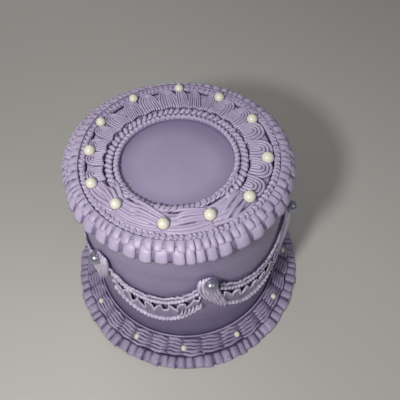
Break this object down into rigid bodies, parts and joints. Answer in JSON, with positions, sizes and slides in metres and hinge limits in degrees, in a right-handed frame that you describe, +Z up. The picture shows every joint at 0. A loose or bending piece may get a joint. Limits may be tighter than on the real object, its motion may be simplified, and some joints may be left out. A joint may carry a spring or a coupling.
{
  "type": "layer cake",
  "caption": "Round uncut celebration cake in smooth lilac icing with rope borders, ridged scrolls, pleated ruffles, swags, tassels and sugar pearls.",
  "frame": {"origin": "middle of the cake's underside, on the surface it stands on", "axes": "+Z up; -Y towards the front of the cake as pictured; +X to its right"},
  "size_m": [0.176, 0.176, 0.1307],
  "materials": {
    "smooth_icing": "smooth satin buttercream",
    "top_piping": "soft satin buttercream, pale lilac",
    "side_piping": "soft satin buttercream with a light pearl lustre",
    "foot_piping": "soft satin buttercream, deeper lilac",
    "white_pearl": "glossy cream-white sugar pearl",
    "silver_pearl": "metallic grey-lilac sugar pearl"
  },
  "bodies": {
    "root": {"cake_drum": "smooth_icing", "rope_inner": "top_piping", "rope_outer": "top_piping", "scroll_ring": "top_piping", "rim_braid": "top_piping", "rim_ruffle": "top_piping", "top_pearl_1": "white_pearl", "top_pearl_2": "white_pearl", "top_pearl_3": "white_pearl", "top_pearl_4": "white_pearl", "top_pearl_5": "white_pearl", "top_pearl_6": "white_pearl", "top_pearl_7": "white_pearl", "top_pearl_8": "white_pearl", "top_pearl_9": "white_pearl", "top_pearl_10": "white_pearl", "top_pearl_11": "white_pearl", "top_pearl_12": "white_pearl", "swag_1": "side_piping", "tassel_1": "side_piping", "tassel_pearl_1": "silver_pearl", "swag_2": "side_piping", "tassel_2": "side_piping", "tassel_pearl_2": "silver_pearl", "swag_3": "side_piping", "tassel_3": "side_piping", "tassel_pearl_3": "silver_pearl", "swag_4": "side_piping", "tassel_4": "side_piping", "tassel_pearl_4": "silver_pearl", "swag_5": "side_piping", "tassel_5": "side_piping", "tassel_pearl_5": "silver_pearl", "swag_6": "side_piping", "tassel_6": "side_piping", "tassel_pearl_6": "silver_pearl", "foot_border": "foot_piping", "foot_ruffle": "foot_piping", "foot_pearl_1": "white_pearl", "foot_pearl_2": "white_pearl", "foot_pearl_3": "white_pearl", "foot_pearl_4": "white_pearl", "foot_pearl_5": "white_pearl", "foot_pearl_6": "white_pearl", "foot_pearl_7": "white_pearl", "foot_pearl_8": "white_pearl", "foot_pearl_9": "white_pearl", "foot_pearl_10": "white_pearl", "foot_pearl_11": "white_pearl", "foot_pearl_12": "white_pearl"}
  },
  "joints": []
}
